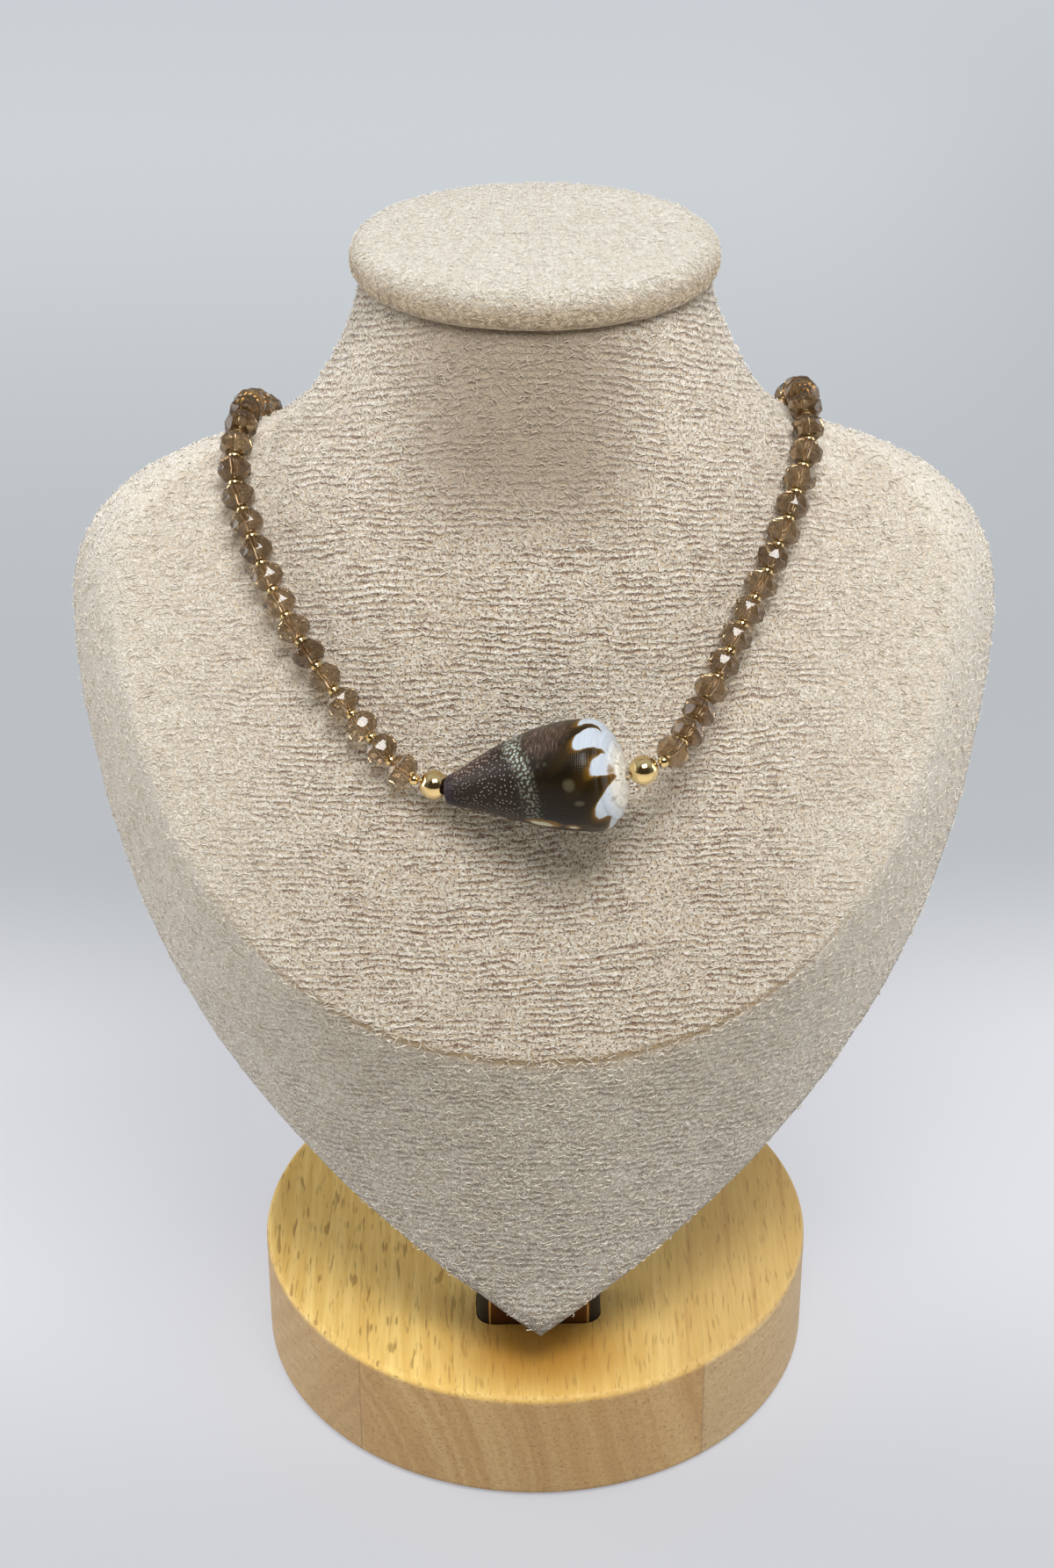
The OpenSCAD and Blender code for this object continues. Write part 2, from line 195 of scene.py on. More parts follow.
# Yearly rings round an axis that runs from front to back under each board
board_left = 1 - wood.step(across, joint_left - joint_width, joint_left + joint_width)
board_right = wood.step(across, joint_right - joint_width, joint_right + joint_width)
heart = -0.10 + 0.13 * board_left + 0.16 * board_right
wander = wood.cloud(wood.stretched(place, (25, 6, 25)), 1.0, 3.0) * 0.014
ring_r = ((across - heart + wander) ** 2 + (height + 0.02) ** 2) ** 0.5
rings = wood.cloud(wood.join(ring_r * 300, depth * 4, 0.0), 1.0, 3.0, 0.6)
bands = wood.step(wood.cloud(wood.join(ring_r * 75, depth * 2, 4.0), 1.0, 2.0), 0.45, 0.65)
grain = wood.cloud(wood.stretched(place, (900, 45, 900)), 1.0, 3.0, 0.6)
pores = wood.step(wood.cloud(wood.stretched(place, (1500, 140, 1500)), 1.0, 1.0), 0.60, 0.68)
dash = wood.cloud(wood.stretched(place, (760, 110, 760)), 1.0, 1.0)
dashes = wood.step(dash, 0.62, 0.69) * (0.15 + 0.85 * (1 - wood.step(across, -0.03, 0.0)))
streaks = wood.step(wood.cloud(wood.stretched(place, (520, 16, 520)), 1.0, 2.0), 0.56, 0.70)
on_top = wood.step(height + 0.0006 * grain, top_low, top_high)

# The top is golden and dashed with open pores, and the sides show paler end grain
top_tone = wood.mixed(wood.step(rings, 0.35, 0.65), paint(234, 195, 112), paint(246, 214, 134))
top_tone = wood.mixed(wood.step(grain, 0.3, 0.7) * 0.6, top_tone, paint(218, 176, 90))
top_tone = wood.mixed(streaks * wood.step(across, 0.012, 0.03) * 0.5, top_tone,
                      paint(186, 128, 66))
top_tone = wood.mixed(dashes * 0.55, top_tone, paint(132, 92, 40))
# Painted shade: the right part of the top is painted darker and greyer, where it lies in shade
top_tone = wood.mixed(wood.step(across, 0.0, 0.05) * 0.55, top_tone, paint(190, 158, 106))
side_tone = wood.mixed(wood.step(rings, 0.3, 0.7), paint(194, 156, 101), paint(212, 179, 126))
side_tone = wood.mixed(bands * 0.45, side_tone, paint(172, 128, 76))
side_tone = wood.mixed(board_left * 0.4, side_tone, paint(192, 164, 122))
side_tone = wood.mixed(board_right * 0.55, side_tone, paint(200, 178, 140))
side_tone = wood.mixed(wood.step(grain, 0.35, 0.7) * 0.35, side_tone, paint(168, 132, 86))
# Painted shade: darker, deeper gold round the foot of the post, where the bust's shadow falls
from_post = (0.5 * across * across + (depth - post_foot) ** 2) ** 0.5
top_tone = wood.mixed((1 - wood.step(from_post, 0.004, 0.022)) * 0.85, top_tone,
                      paint(158, 108, 28))
tone = wood.mixed(on_top, side_tone, top_tone)
tone = wood.mixed(pores * 0.30, tone, paint(120, 84, 46))
seam_width = 0.00035
seam = (1 - wood.step(abs(across - joint_left), 0.0, seam_width)
        + 1 - wood.step(abs(across - joint_right), 0.0, seam_width))
tone = wood.mixed(seam * (0.35 - 0.3 * on_top), tone, paint(120, 88, 52))
relief = wood.raised(0.5 * grain - 0.6 * pores - seam, 0.00008)
wood_finish = wood.done(
    Base_Color=tone, Roughness=0.45 + 0.2 * grain, Normal=relief, Specular_IOR_Level=0.35,
    Coat_Weight=0.06, Coat_Roughness=0.3)
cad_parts["wood_base"].data.materials[0] = wood_finish

# ------------------------------------------------------------------------------------ Upright
# A flat bar in glossy bronze lacquer that stands in the base's mortise and carries the bust.
# Its narrow sides are covered with a black strip, with a patchy bright line beside it.
strip_from, strip_blur = 0.0118, 0.0002
bright_from, bright_width = 0.0115, 0.0003
bronze = Finish("bronze_lacquer")
place = bronze.place()
across = bronze.parts(place)[0]
brushed = bronze.cloud(bronze.stretched(place, (3000, 3000, 60)), 1.0, 3.0)
smear = bronze.cloud(bronze.stretched(place, (90, 90, 40)), 1.0, 3.0)
strip = bronze.step(abs(across), strip_from, strip_from + strip_blur)
# A patchy bright line runs just inside each black strip
bright_line = (1 - bronze.step(abs(abs(across) - bright_from), bright_width / 3, bright_width)) \
    * bronze.step(bronze.cloud(bronze.stretched(place, (200, 200, 90)), 1.0), 0.3, 0.45)
tone = bronze.mixed(bronze.step(smear, 0.3, 0.7), paint(92, 66, 46), paint(118, 86, 60))
tone = bronze.mixed(brushed * 0.3, tone, paint(146, 112, 82))
tone = bronze.mixed(strip, tone, paint(16, 14, 13))
tone = bronze.mixed(bright_line, tone, paint(214, 186, 140))
bronze_finish = bronze.done(
    Base_Color=tone, Metallic=0.75 - 0.7 * strip, Roughness=0.22 + 0.18 * brushed + 0.2 * strip,
    Normal=bronze.raised(brushed, 0.00001))
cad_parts["support_post"].data.materials[0] = bronze_finish

# ----------------------------------------------------------------------------- Bust's cloth
# A stiff core covered with beige chenille: low wavy rows of soft loops, with pinholes between
# them that show the brown backing. It is drawn tight from the back edge up to the neck.
lean = math.radians(22)
up_the_chest = Vector((0, math.sin(lean), math.cos(lean)))
off_the_chest = Vector((0, -math.cos(lean), math.sin(lean)))
row_pitch = 0.0015
crease_ring = 11
low_crease = 0.10
neck_middle = 0.006
same_spot = 1e-5


def work_on(piece):
    bpy.ops.object.select_all(action="DESELECT")
    piece.select_set(True)
    bpy.context.view_layer.objects.active = piece


def copy_of(node_name, name):
    """A piece of its own with a CAD node's shape, its loose triangles merged."""
    piece = bpy.data.objects.new(name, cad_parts[node_name].data.copy())
    piece.data.materials.clear()
    bpy.context.collection.objects.link(piece)
    work_on(piece)
    bpy.ops.object.mode_set(mode="EDIT")
    bpy.ops.mesh.select_all(action="SELECT")
    bpy.ops.mesh.customdata_custom_splitnormals_clear()
    bpy.ops.mesh.remove_doubles(threshold=same_spot)
    bpy.ops.mesh.mark_sharp(clear=True)
    bpy.ops.object.mode_set(mode="OBJECT")
    piece.data.name = name
    return piece


def add_modifier(piece, kind, **settings):
    """Adds a modifier, sets it and applies it."""
    work_on(piece)
    modifier = piece.modifiers.new(kind.lower(), kind)
    for key, value in settings.items():
        setattr(modifier, key, value)
    bpy.ops.object.modifier_apply(modifier=modifier.name)


def smoothed(piece, levels):
    add_modifier(piece, "SUBSURF", levels=levels, render_levels=levels)
    bpy.ops.object.shade_smooth()


cloth = copy_of("bust_form", "bust_cloth")
# Rings are counted from the middle of the neck's top, so that the crease is the eleventh
mesh = bmesh.new()
mesh.from_mesh(cloth.data)
folds = mesh.edges.layers.float.new("crease_edge")
points = mesh.verts.layers.float.new("crease_vert")
ring_layer = mesh.verts.layers.float.new("ring")
start = max(mesh.verts,
            key=lambda v: v.co.z - 10 * abs(v.co.x) - 10 * abs(v.co.y - neck_middle))
ring_of = {start: 0}
line = [start]
for vert in line:
    for edge in vert.link_edges:
        near = edge.other_vert(vert)
        if near not in ring_of:
            ring_of[near] = ring_of[vert] + 1
            line.append(near)
rings_made = max(ring_of.values())
# Two triangles make each quad: their shared edge runs from one ring to the next, askew
askew = []
for face in mesh.faces:
    rings = [ring_of[loop.vert] for loop in face.loops]
    if 0 < min(rings) < max(rings) < rings_made and rings.count(max(rings)) == 2:
        askew.append(face.loops[rings.index(min(rings))].link_loop_prev.edge)
bmesh.ops.dissolve_edges(mesh, edges=list(dict.fromkeys(askew)))
for vert in mesh.verts:
    vert[ring_layer] = ring_of[vert]
# The rim and the lower tip are sharp. The crease is sharpest low down and fades upwards
min(mesh.verts, key=lambda v: v.co.z)[points] = 1.0
for edge in mesh.edges:
    rings = {ring_of[v] for v in edge.verts}
    middle = (edge.verts[0].co + edge.verts[1].co) / 2
    if rings == {crease_ring}:
        edge[folds] = min(0.8, max(0.2, 0.8 - 6 * (middle.z - low_crease)))
    elif rings in ({1}, {rings_made - 1}):
        edge[folds] = 1.0
    elif max(rings) > crease_ring and all(abs(v.co.x) < same_spot for v in edge.verts):
        edge[folds] = 0.8 if middle.z < low_crease else 0.0
mesh.to_mesh(cloth.data)
mesh.free()
smoothed(cloth, 3)
lumps = bpy.data.textures.new("cloth_lumps", "CLOUDS")
lumps.noise_scale = 0.011
lumps.noise_depth = 2
add_modifier(cloth, "DISPLACE", texture=lumps, texture_coords="LOCAL", strength=0.0007,
             mid_level=0.5)


def row_phase(across, up, wave):
    """Count of chenille rows up to a place. wave is the sine to use, of numbers or wires."""
    # Rows climb towards the sides on the upper chest, and waver in long and short waves
    beside = (across * across + 0.03 ** 2) ** 0.5
    climb = 0.5 + 0.5 * wave((up - 0.17) * 22)
    warp = (0.00025 * wave(across * 210 + up * 155) + 0.00018 * wave(across * 520 - up * 260 + 2)
            + 0.0011 * wave(across * 41 - up * 33 + 1) + 0.0005 * wave(across * 83 + up * 71))
    return (up + 0.17 * climb * beside + warp) / row_pitch


def chenille(name, pale, middle, hollow, hole, rows_show, holes_show):
    """Cloth of that name in four tones. Rows and pinholes show from 0, not at all, to 1."""
    cloth = Finish(name)
    place = cloth.place()
    across, depth, height = cloth.parts(place)
    up = up_the_chest.y * depth + up_the_chest.z * height
    off = off_the_chest.y * depth + off_the_chest.z * height
    warped = cloth.join(across, up, off)
    ripple = cloth.cloud(cloth.stretched(warped, (330, 240, 330)), 1.0, 3.0, 0.65) - 0.5
    phase = row_phase(across, up, lambda value: cloth.sums("SINE", value)) + 1.3 * ripple
    turned = cloth.parts(cloth.make("NewGeometry", out="Normal"))
    on_shoulder = cloth.step(abs(up_the_chest.y * turned[1] + up_the_chest.z * turned[2]),
                             0.45, 0.8) * cloth.step(up, 0.10, 0.20)
    patches = cloth.step(cloth.cloud(cloth.stretched(warped, (95, 190, 95)), 1.0, 2.0), 0.38, 0.62)
    beside = 1 - cloth.step(abs(across), 0.035, 0.085)
    ring = cloth.make("Attribute", {"attribute_name": "ring"}, out="Fac")
    under = cloth.step(ring - crease_ring, 0.0, 0.08) * (1 - cloth.step(height, 0.10, 0.17))
    shown = rows_show * (0.15 + 0.85 * patches) * (0.25 + 0.75 * beside) * (1 - on_shoulder) \
        * (1 - 0.15 * under)
    ridge = 0.5 + 0.5 * cloth.sums("SINE", phase * (2 * math.pi))
    ridge = 0.5 + (ridge - 0.5) * shown
    # Curly strands: pale lines that wind between the hollows
    bend = cloth.cloud(cloth.stretched(warped, (700, 1000, 700)), 1.0, 2.0, 0.6)
    curl = cloth.cloud(cloth.stretched(warped, (1500, 1300, 1500)), 1.0, 1.0)
    strands = 1 - cloth.step(abs(bend - 0.5), 0.0, 0.08)
    curls = 1 - cloth.step(abs(curl - 0.48), 0.0, 0.10)
    # Each furrow is a line of brown lenses hatched by the pile, and pinholes are strewn thinly
    outward = across - 0.9 * (off - 0.125) * (2 * cloth.step(across, -0.03, 0.03) - 1)
    row = phase - 0.45
    row_count = cloth.sums("FLOOR", row)
    from_furrow = abs(row - row_count - 0.5)
    dash = cloth.cloud(cloth.join(outward / 0.0045 + 7.3 * row_count, 3.1 * row_count, 0.0),
                       1.0, 1.0)
    lens = cloth.step(dash - 1.3 * from_furrow, 0.32, 0.44) * cloth.step(shown, 0.1, 0.5)
    hatch = cloth.step(cloth.cloud(cloth.join(outward / 0.00032, up / 0.0011, 0.0), 1.0, 1.0),
                       0.38, 0.62)
    strewn = cloth.speckle(outward / 0.0011, (up + 0.5 * off) / 0.0015)
    holes = cloth.sums("MAXIMUM", lens * (0.45 + 0.55 * hatch),
                       0.8 * (1 - cloth.step(strewn, 0.10, 0.27)))
    holes = holes * (0.3 + 0.7 * beside) * holes_show
    raised = 0.44 * ridge + 0.32 * strands + 0.24 * curls
    blotch = cloth.cloud(place, 60, 3.0)
    tone = cloth.mixed(cloth.step(raised, 0.15, 0.48), hollow, middle)
    tone = cloth.mixed(cloth.step(raised, 0.40, 0.72), tone, pale)
    # Painted light: towards the sides the cloth is painted paler, where more light falls from the
    # sides
    tone = cloth.mixed((1 - beside) * 0.3, tone, pale)
    # Under the crease the loops are painted palest, as painted light where the cloth turns down
    # away from the lamps, with darker specks between them
    tone = cloth.mixed(under * cloth.step(raised, 0.28, 0.46), tone, paint(255, 252, 243))
    specks = under * cloth.step(cloth.cloud(warped, 1300, 1.0), 0.58, 0.66)
    tone = cloth.mixed(specks * 0.6, tone, paint(134, 114, 90))
    tone = cloth.mixed(holes, tone, hole)
    tone = cloth.mixed(cloth.step(blotch, 0.35, 0.7) * 0.10, tone, hollow)
    pile = 0.35 * ridge + 0.38 * strands + 0.28 * curls - 0.45 * holes
    relief = cloth.raised((1 + 0.25 * under) * pile, 0.00045)
    return cloth, tone, relief


def cap_shade_on_neck(cloth, across, height):
    """1 on the front of the neck, where the cap's shade is painted, and 0 elsewhere."""
    return cloth.step(height, 0.225, 0.25) * (1 - cloth.step(abs(across + 0.004), 0.010, 0.034))


cloth_pale = paint(247, 242, 233)
cloth_middle = paint(226, 217, 202)
cloth_hollow = paint(188, 169, 142)
cloth_hole = paint(120, 84, 58)
weave, tone, relief = chenille("beige_chenille", cloth_pale, cloth_middle, cloth_hollow,
                               cloth_hole, 1.0, 1.0)
# The nap parts along the crease, and a thin tan line of backing shows low on the chest.
# Beyond the crease the cloth is painted a little paler, as painted light on faces that turn
# away from the lamps, and the front of the neck is painted darker, as painted shade under the cap.
place = weave.place()
across, _, height = weave.parts(place)
ring = weave.make("Attribute", {"attribute_name": "ring"}, out="Fac")
ragged = weave.cloud(place, 500, 3.0) - 0.5
from_crease = ring - crease_ring + 0.16 * ragged
parting = (1 - weave.step(abs(from_crease), 0.05, 0.16)) * (1 - weave.step(height, 0.105, 0.155))
side = weave.step(from_crease, 0.0, 0.08)
tone = weave.mixed(side * 0.15, tone, cloth_pale)
tone = weave.mixed(cap_shade_on_neck(weave, across, height) * 0.9, tone, paint(166, 151, 132))
tone = weave.mixed(parting * (0.5 + 0.5 * weave.cloud(place, 900, 2.0)), tone,
                   paint(182, 152, 106))
from_line = abs(ring - crease_ring + 0.03 + 0.06 * ragged)
seam_line = (1 - weave.step(from_line, 0.035, 0.065)) * (1 - weave.step(height, 0.135, 0.175))
tone = weave.mixed(seam_line * 0.65, tone, paint(152, 126, 84))
chenille_finish = weave.done(
    Base_Color=tone, Roughness=0.92, Normal=relief, Sheen_Weight=0.75, Sheen_Roughness=0.5,
    Sheen_Tint=(1.0, 0.97, 0.94, 1.0), Specular_IOR_Level=0.12)
cloth.data.materials.append(chenille_finish)
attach(cloth, "root")
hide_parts("bust_form")

# ------------------------------------------------------------------------------- Nap of loops
# Soft loops of chenille yarn stand half a millimetre off the cloth along its rows, and make
# the bust's outline fuzzy. They are part of the cloth, and keep clear of the stones, whose
# middles and bores are read from the CAD nodes.
loop_long, loop_thick, loop_high = 0.0019, 0.00020, 0.00048
chest_turn = 0.72
under_cap = 0.273
stone_reach = 0.0041


def solids_of(node_name):
    """Points of each loose solid of a CAD node."""
    mesh = bmesh.new()
    mesh.from_mesh(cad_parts[node_name].data)
    bmesh.ops.remove_doubles(mesh, verts=mesh.verts, dist=same_spot)
    solids, seen = [], set()
    for first in mesh.verts:
        if first in seen:
            continue
        seen.add(first)
        group = [first]
        for vert in group:
            for edge in vert.link_edges:
                near = edge.other_vert(vert)
                if near not in seen:
                    seen.add(near)
                    group.append(near)
        solids.append(np.array([v.co for v in group]))
    mesh.free()
    return solids


def bore_of(points):
    """Middle of a stone and the way of its bore, along which its corners spread most."""
    middle = points.mean(0)
    return middle, np.linalg.eigh((points - middle).T @ (points - middle))[1][:, 2]


stone_places = {side: [bore_of(p) for p in solids_of("quartz_beads_" + side)]
                for side in ("left", "right")}
stone_middles = np.array([middle for side in stone_places.values() for middle, _ in side])


def skin_spots(piece, count, seed, wanted):
    """Random places on a piece, spread by area: points and normals. wanted rates each face."""
    mesh = piece.data
    mesh.calc_loop_triangles()
    corners = np.empty(len(mesh.loop_triangles) * 3, int)
    mesh.loop_triangles.foreach_get("vertices", corners)
    verts = np.empty(len(mesh.vertices) * 3)
    mesh.vertices.foreach_get("co", verts)
    verts = verts.reshape(-1, 3)
    a, b, c = (verts[corners.reshape(-1, 3)[:, i]] for i in range(3))
    normal = np.cross(b - a, c - a)
    area = np.linalg.norm(normal, axis=1)
    normal /= np.maximum(area, 1e-15)[:, None]
    rate = area * wanted((a + b + c) / 3, normal)
    dice = np.random.default_rng(seed)
    chosen = dice.choice(len(rate), count, p=rate / rate.sum())
    u, v = dice.random(count), dice.random(count)
    u, v = np.where(u + v > 1, 1 - u, u), np.where(u + v > 1, 1 - v, v)
    spots = a[chosen] + u[:, None] * (b - a)[chosen] + v[:, None] * (c - a)[chosen]
    return spots, normal[chosen], dice


def level_on(normals, up, least):
    """The level way along the skin at each spot, and how far the skin stands up from level."""
    level = np.cross(normals, up)
    steep = np.linalg.norm(level, axis=1, keepdims=True)
    return np.where(steep > least, level / np.maximum(steep, 1e-9), [1.0, 0, 0]), steep[:, 0]


def flush(ways, normals):
    """Ways turned flat along the skin."""
    ways = ways - normals * np.sum(ways * normals, 1)[:, None]
    return ways / np.linalg.norm(ways, axis=1)[:, None]


def nap(name, spots, normals, ways, long, thick, high, dice):
    """A piece of three-sided yarn loops. Each starts and ends in the cloth and bows off it."""
    count = len(spots)
    sideways = np.cross(normals, ways)
    curl = dice.normal(0, 0.22, count)[:, None] * long[:, None]
    share = np.array([0.0, 0.33, 0.67, 1.0])
    bow = np.array([-0.35, 0.85, 1.0, -0.2])
    bend = np.array([0.0, 0.8, 0.6, -0.4])
    girth = np.array([0.55, 1.0, 0.95, 0.5])
    turns = np.radians([90, 210, 330])
    rings = []
    for t, lift, swing, width in zip(share, bow, bend, girth):
        middle = (spots + ways * (t - 0.5) * long[:, None] + normals * lift * high[:, None]
                  + sideways * swing * curl)
        for turn in turns:
            rings.append(middle + width * thick[:, None] / 2 *
                         (math.cos(turn) * sideways + math.sin(turn) * normals))
    points = np.stack(rings, 1).reshape(-1, 3)
    sides = [(r * 3 + s, r * 3 + (s + 1) % 3, r * 3 + 3 + (s + 1) % 3, r * 3 + 3 + s)
             for r in range(3) for s in range(3)]
    ends = [(2, 1, 0), (9, 10, 11)]
    loop_faces = np.array([corner for face in sides + ends for corner in face])
    sizes = np.tile([4] * 9 + [3] * 2, count)
    corners = (loop_faces[None] + 12 * np.arange(count)[:, None]).ravel()
    mesh = bpy.data.meshes.new(name)
    mesh.vertices.add(len(points))
    mesh.vertices.foreach_set("co", points.ravel())
    mesh.loops.add(len(corners))
    mesh.loops.foreach_set("vertex_index", corners)
    mesh.polygons.add(len(sizes))
    mesh.polygons.foreach_set("loop_start", np.concatenate([[0], np.cumsum(sizes)[:-1]]))
    mesh.update(calc_edges=True)
    # Each loop of yarn has a cell of its own on the map that its colours are baked to
    cells = math.ceil(math.sqrt(count))
    spread = []
    for r in range(3):
        for s in range(3):
            near, far, left, right = r / 3, (r + 1) / 3, s / 4, (s + 1) / 4
            spread += [(near, left), (near, right), (far, right), (far, left)]
    spread += [(0, 0.75), (0.5, 0.75), (0, 1), (0.5, 0.75), (1, 0.75), (1, 1)]
    cell = np.stack([np.arange(count) % cells, np.arange(count) // cells], 1)
    uv = (cell[:, None] + 0.06 + 0.88 * np.array(spread)[None]) / cells
    mesh.uv_layers.new(name="OFBake").data.foreach_set("uv", uv.ravel())
    mesh.polygons.foreach_set("use_smooth", np.ones(len(sizes), bool))
    mesh.validate()
    piece = bpy.data.objects.new(name, mesh)
    bpy.context.collection.objects.link(piece)
    return piece


def loops_on(piece, name, count, seed, on_chest, size):
    """Nap on the bust's chest or on the rest of it, laid along its rows."""
    def wanted(middles, normals):
        facing = normals @ np.array(off_the_chest)
        there = ((facing > chest_turn) == on_chest) & (middles[:, 2] < under_cap)
        return np.where(there, np.where(facing < -0.5, 0.12, 1.0), 0.0)

    spots, normals, dice = skin_spots(piece, count, seed, wanted)
    up = np.array(up_the_chest)
    level, steep = level_on(normals, up, 0.15)
    climb = np.cross(level, normals)
    # Loops move to the crest of their row
    phase = row_phase(spots[:, 0], spots @ up, np.sin)
    off_crest = (phase - 0.25) - np.round(phase - 0.25)
    rate = np.maximum(np.abs(climb @ up), 0.4)
    moved = np.where(steep > 0.6, off_crest * row_pitch / rate, 0)
    moved = moved * (dice.random(len(spots)) < 0.5)
    spots = spots + climb * np.sign(climb @ up)[:, None] * -moved[:, None]
    # Most lie along the row, and a quarter of them across it
    turn = dice.normal(0, 0.5, len(spots))
    turn += np.where(dice.random(len(spots)) < 0.25, math.pi / 2, 0)
    ways = flush(np.cos(turn)[:, None] * level + np.sin(turn)[:, None] * climb, normals)
    long = size * loop_long * dice.uniform(0.55, 1.45, len(spots))
    thick = loop_thick * dice.uniform(0.8, 1.35, len(spots))
    high = loop_high * dice.uniform(0.45, 1.25, len(spots))
    near = np.array([np.min(np.sum((stone_middles - p) ** 2, 1)) for p in spots])
    clear = near > stone_reach ** 2
    return nap(name, spots[clear], normals[clear], ways[clear], long[clear], thick[clear],
               high[clear], dice)


chest_nap = loops_on(cloth, "chest_nap", 9800, 11, True, 1.0)
edge_nap = loops_on(cloth, "edge_nap", 9800, 12, False, 0.8)
yarn = Finish("chenille_yarn")
place = yarn.place()
tint = yarn.cloud(place, 900, 2.0)
blotch = yarn.cloud(place, 60, 3.0)
tone = yarn.mixed(yarn.step(tint, 0.35, 0.65), paint(226, 216, 198), paint(250, 246, 238))
tone = yarn.mixed(yarn.step(blotch, 0.35, 0.7) * 0.15, tone, cloth_hollow)
across, _, height = yarn.parts(place)
# Painted shade: the loops on the front of the neck are painted darker, as under the cap
tone = yarn.mixed(cap_shade_on_neck(yarn, across, height) * 0.7, tone, paint(186, 170, 149))
yarn_finish = yarn.done(
    Base_Color=tone, Roughness=0.9, Normal=yarn.raised(yarn.cloud(place, 9000, 2.0), 0.00002),
    Sheen_Weight=0.15, Sheen_Roughness=0.5, Specular_IOR_Level=0.12)
for piece in (chest_nap, edge_nap):
    piece.data.materials.append(yarn_finish)
    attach(piece, "root")

# ----------------------------------------------------------------------------------- Neck cap
# A padded oval disc in a smoother, creamier cloth that closes the neck's top. Its cloth is
# pulled round the rim, where it turns tan, and tucked in under it.
cap_low, cap_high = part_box("neck_cap")
cap_middle = (cap_low + cap_high) / 2
cap_size = cap_high - cap_low
upper_roll, lower_roll = 0.0042, 0.003
crown_rings, under_ring = (0.004, 0.007, 0.008, 0.007), 0.008
tan_from, tan_to = cap_low.z + 0.0035, cap_high.z + 0.0002
bpy.ops.object.select_all(action="DESELECT")
bpy.ops.mesh.primitive_cylinder_add(vertices=64, radius=cap_size.x / 2, depth=cap_size.z,
                                    location=cap_middle)
cap = bpy.context.object
cap.name = cap.data.name = "cap_pad"
cap.scale = (1, cap_size.y / cap_size.x, 1)
bpy.ops.object.transform_apply(location=True, rotation=True, scale=True)


def pick(piece, test, kind="FACE"):
    """Selects the faces or edges that pass a test, in edit mode."""
    bpy.ops.mesh.select_mode(type=kind)
    bpy.ops.mesh.select_all(action="DESELECT")
    mesh = bmesh.from_edit_mesh(piece.data)
    for part in mesh.faces if kind == "FACE" else mesh.edges:
        if test(part):
            part.select_set(True)
    bmesh.update_edit_mesh(piece.data)


def in_order(piece):
    """Sorts points and faces by place, so that each run goes on from the same mesh."""
    mesh = piece.data
    order = sorted(range(len(mesh.vertices)),
                   key=lambda i: [round(v, 6) for v in mesh.vertices[i].co])
    points = [mesh.vertices[i].co.copy() for i in order]
    new_place = {old: new for new, old in enumerate(order)}
    faces = []
    for face in mesh.polygons:
        corners = [new_place[i] for i in face.vertices]
        first = corners.index(min(corners))
        faces.append(corners[first:] + corners[:first])
    mesh.clear_geometry()
    mesh.from_pydata(points, [], sorted(faces))


work_on(cap)
bpy.ops.object.mode_set(mode="EDIT")
pick(cap, lambda e: all(abs(v.co.z - cap_high.z) < 1e-6 for v in e.verts), "EDGE")
bpy.ops.mesh.bevel(offset=upper_roll, segments=5, profile=0.5)
pick(cap, lambda e: all(abs(v.co.z - cap_low.z) < 1e-6 for v in e.verts), "EDGE")
bpy.ops.mesh.bevel(offset=lower_roll, segments=4, profile=0.5)
pick(cap, lambda f: f.normal.z > 0.99)
for width in crown_rings:
    bpy.ops.mesh.inset(thickness=width)
pick(cap, lambda f: f.normal.z < -0.99)
bpy.ops.mesh.inset(thickness=under_ring)
bpy.ops.object.mode_set(mode="OBJECT")
in_order(cap)
smoothed(cap, 2)
soft = bpy.data.textures.new("cap_lumps", "CLOUDS")
soft.noise_scale = 0.009
add_modifier(cap, "DISPLACE", texture=soft, texture_coords="LOCAL", strength=0.0004,
             mid_level=0.6)
velour, tone, relief = chenille("cream_velour", paint(234, 231, 224), paint(226, 222, 213),
                                paint(198, 188, 170), paint(166, 148, 122), 0.45, 0.3)
place = velour.place()
height = velour.parts(place)[2]
rim = 1 - velour.step(height + 0.0012 * velour.cloud(place, 300, 2.0), tan_from, tan_to)
rim_tone = velour.mixed(velour.step(velour.cloud(place, 800, 2.0), 0.35, 0.65),
                        paint(150, 123, 90), paint(208, 188, 158))
tone = velour.mixed(rim * 0.75, tone, rim_tone)
velour_finish = velour.done(
    Base_Color=tone, Roughness=0.92, Normal=relief, Sheen_Weight=0.3, Sheen_Roughness=0.45,
    Specular_IOR_Level=0.15)
cap.data.materials.append(velour_finish)
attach(cap, "root")
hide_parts("neck_cap")

# Its short nap is thickest round the rim and lies every way
spots, normals, dice = skin_spots(cap, 4200, 21, lambda middles, normals: np.where(
    normals[:, 2] > -0.3, np.where(normals[:, 2] > 0.9, 0.7, 1.6), 0.0))
turn = dice.uniform(0, 2 * math.pi, len(spots))
level = flush(level_on(normals, [0.0, 0.0, 1.0], 0.1)[0], normals)
ways = np.cos(turn)[:, None] * level + np.sin(turn)[:, None] * np.cross(normals, level)
cap_nap = nap("cap_nap", spots, normals, ways, dice.uniform(0.0008, 0.0018, len(spots)),
              dice.uniform(0.00011, 0.00019, len(spots)),
              dice.uniform(0.00015, 0.00045, len(spots)), dice)
down = Finish("velour_yarn")
place = down.place()
height = down.parts(place)[2]
rim = 1 - down.step(height, tan_from, tan_to)
tone = down.mixed(down.step(down.cloud(place, 1200, 2.0), 0.35, 0.65), paint(216, 209, 195),
                  paint(236, 232, 223))
tone = down.mixed(rim * 0.6, tone, paint(190, 166, 130))
cap_nap.data.materials.append(down.done(
    Base_Color=tone, Roughness=0.9, Normal=down.raised(down.cloud(place, 9000, 2.0), 0.00002),
    Sheen_Weight=0.3, Sheen_Roughness=0.5, Specular_IOR_Level=0.15))
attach(cap_nap, "root")

